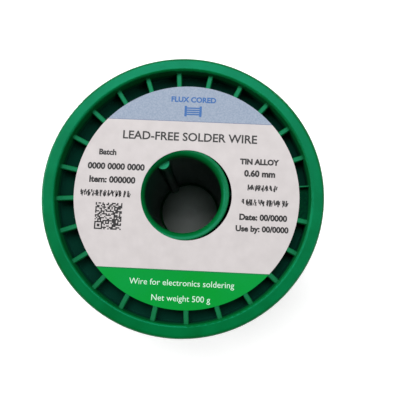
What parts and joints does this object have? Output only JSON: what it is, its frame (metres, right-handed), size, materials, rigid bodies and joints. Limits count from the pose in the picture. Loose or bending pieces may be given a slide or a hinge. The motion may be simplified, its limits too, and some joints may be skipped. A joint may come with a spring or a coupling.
{
  "type": "solder wire spool",
  "caption": "Green plastic spool full of fine solder wire, with ribbed flanges, a keyed through-bore and a round paper label on its front face.",
  "frame": {"origin": "on the spool's axis, in the plane of the rear rim that it stands on", "axes": "+Z along the axis from the rear flange to the labelled front flange; +Y towards the top of the label's print"},
  "size_m": [0.07, 0.07, 0.052],
  "materials": {
    "green_plastic": "semi-matte moulded plastic",
    "solder": "drawn tin alloy wire, satin",
    "tape": "thin translucent adhesive tape",
    "label_paper": "coated printed paper"
  },
  "bodies": {
    "root": {"spool_half_front": "green_plastic", "spool_half_rear": "green_plastic", "solder_winding": "solder", "end_tape": "tape", "face_label": "label_paper"}
  },
  "joints": []
}
